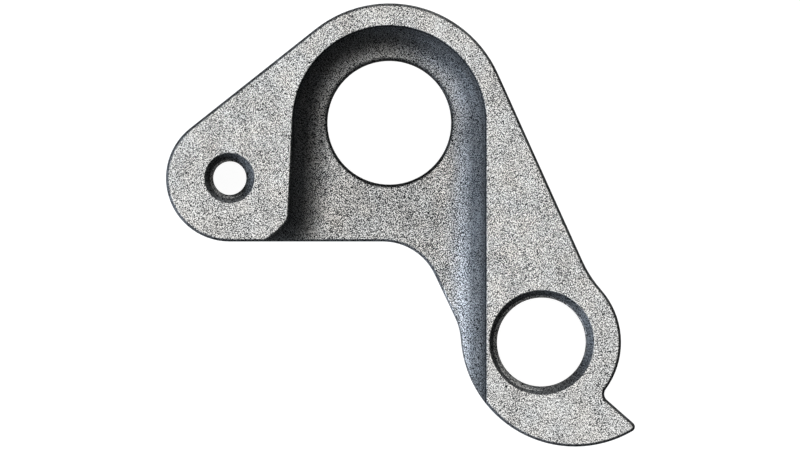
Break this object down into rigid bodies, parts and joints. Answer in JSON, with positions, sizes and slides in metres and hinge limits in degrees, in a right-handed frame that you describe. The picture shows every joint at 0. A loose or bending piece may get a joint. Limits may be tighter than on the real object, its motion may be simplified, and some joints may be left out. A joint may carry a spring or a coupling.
{
  "type": "bicycle derailleur hanger",
  "caption": "Flat cranked plate that hangs a rear derailleur from a bicycle frame: axle bore in a scooped hub recess, threaded boss with a stop tail, threaded fixing lobe.",
  "frame": {"origin": "centre of the axle bore on the flat outer face", "axes": "+Z along the axle, out of the hub recess; the derailleur boss lies towards +X and -Y"},
  "size_m": [0.0472, 0.0447, 0.008],
  "materials": {
    "sintered_aluminium": "laser-sintered aluminium, bead blasted to a matte, grainy light grey"
  },
  "bodies": {
    "root": {"hanger": "sintered_aluminium"}
  },
  "joints": []
}
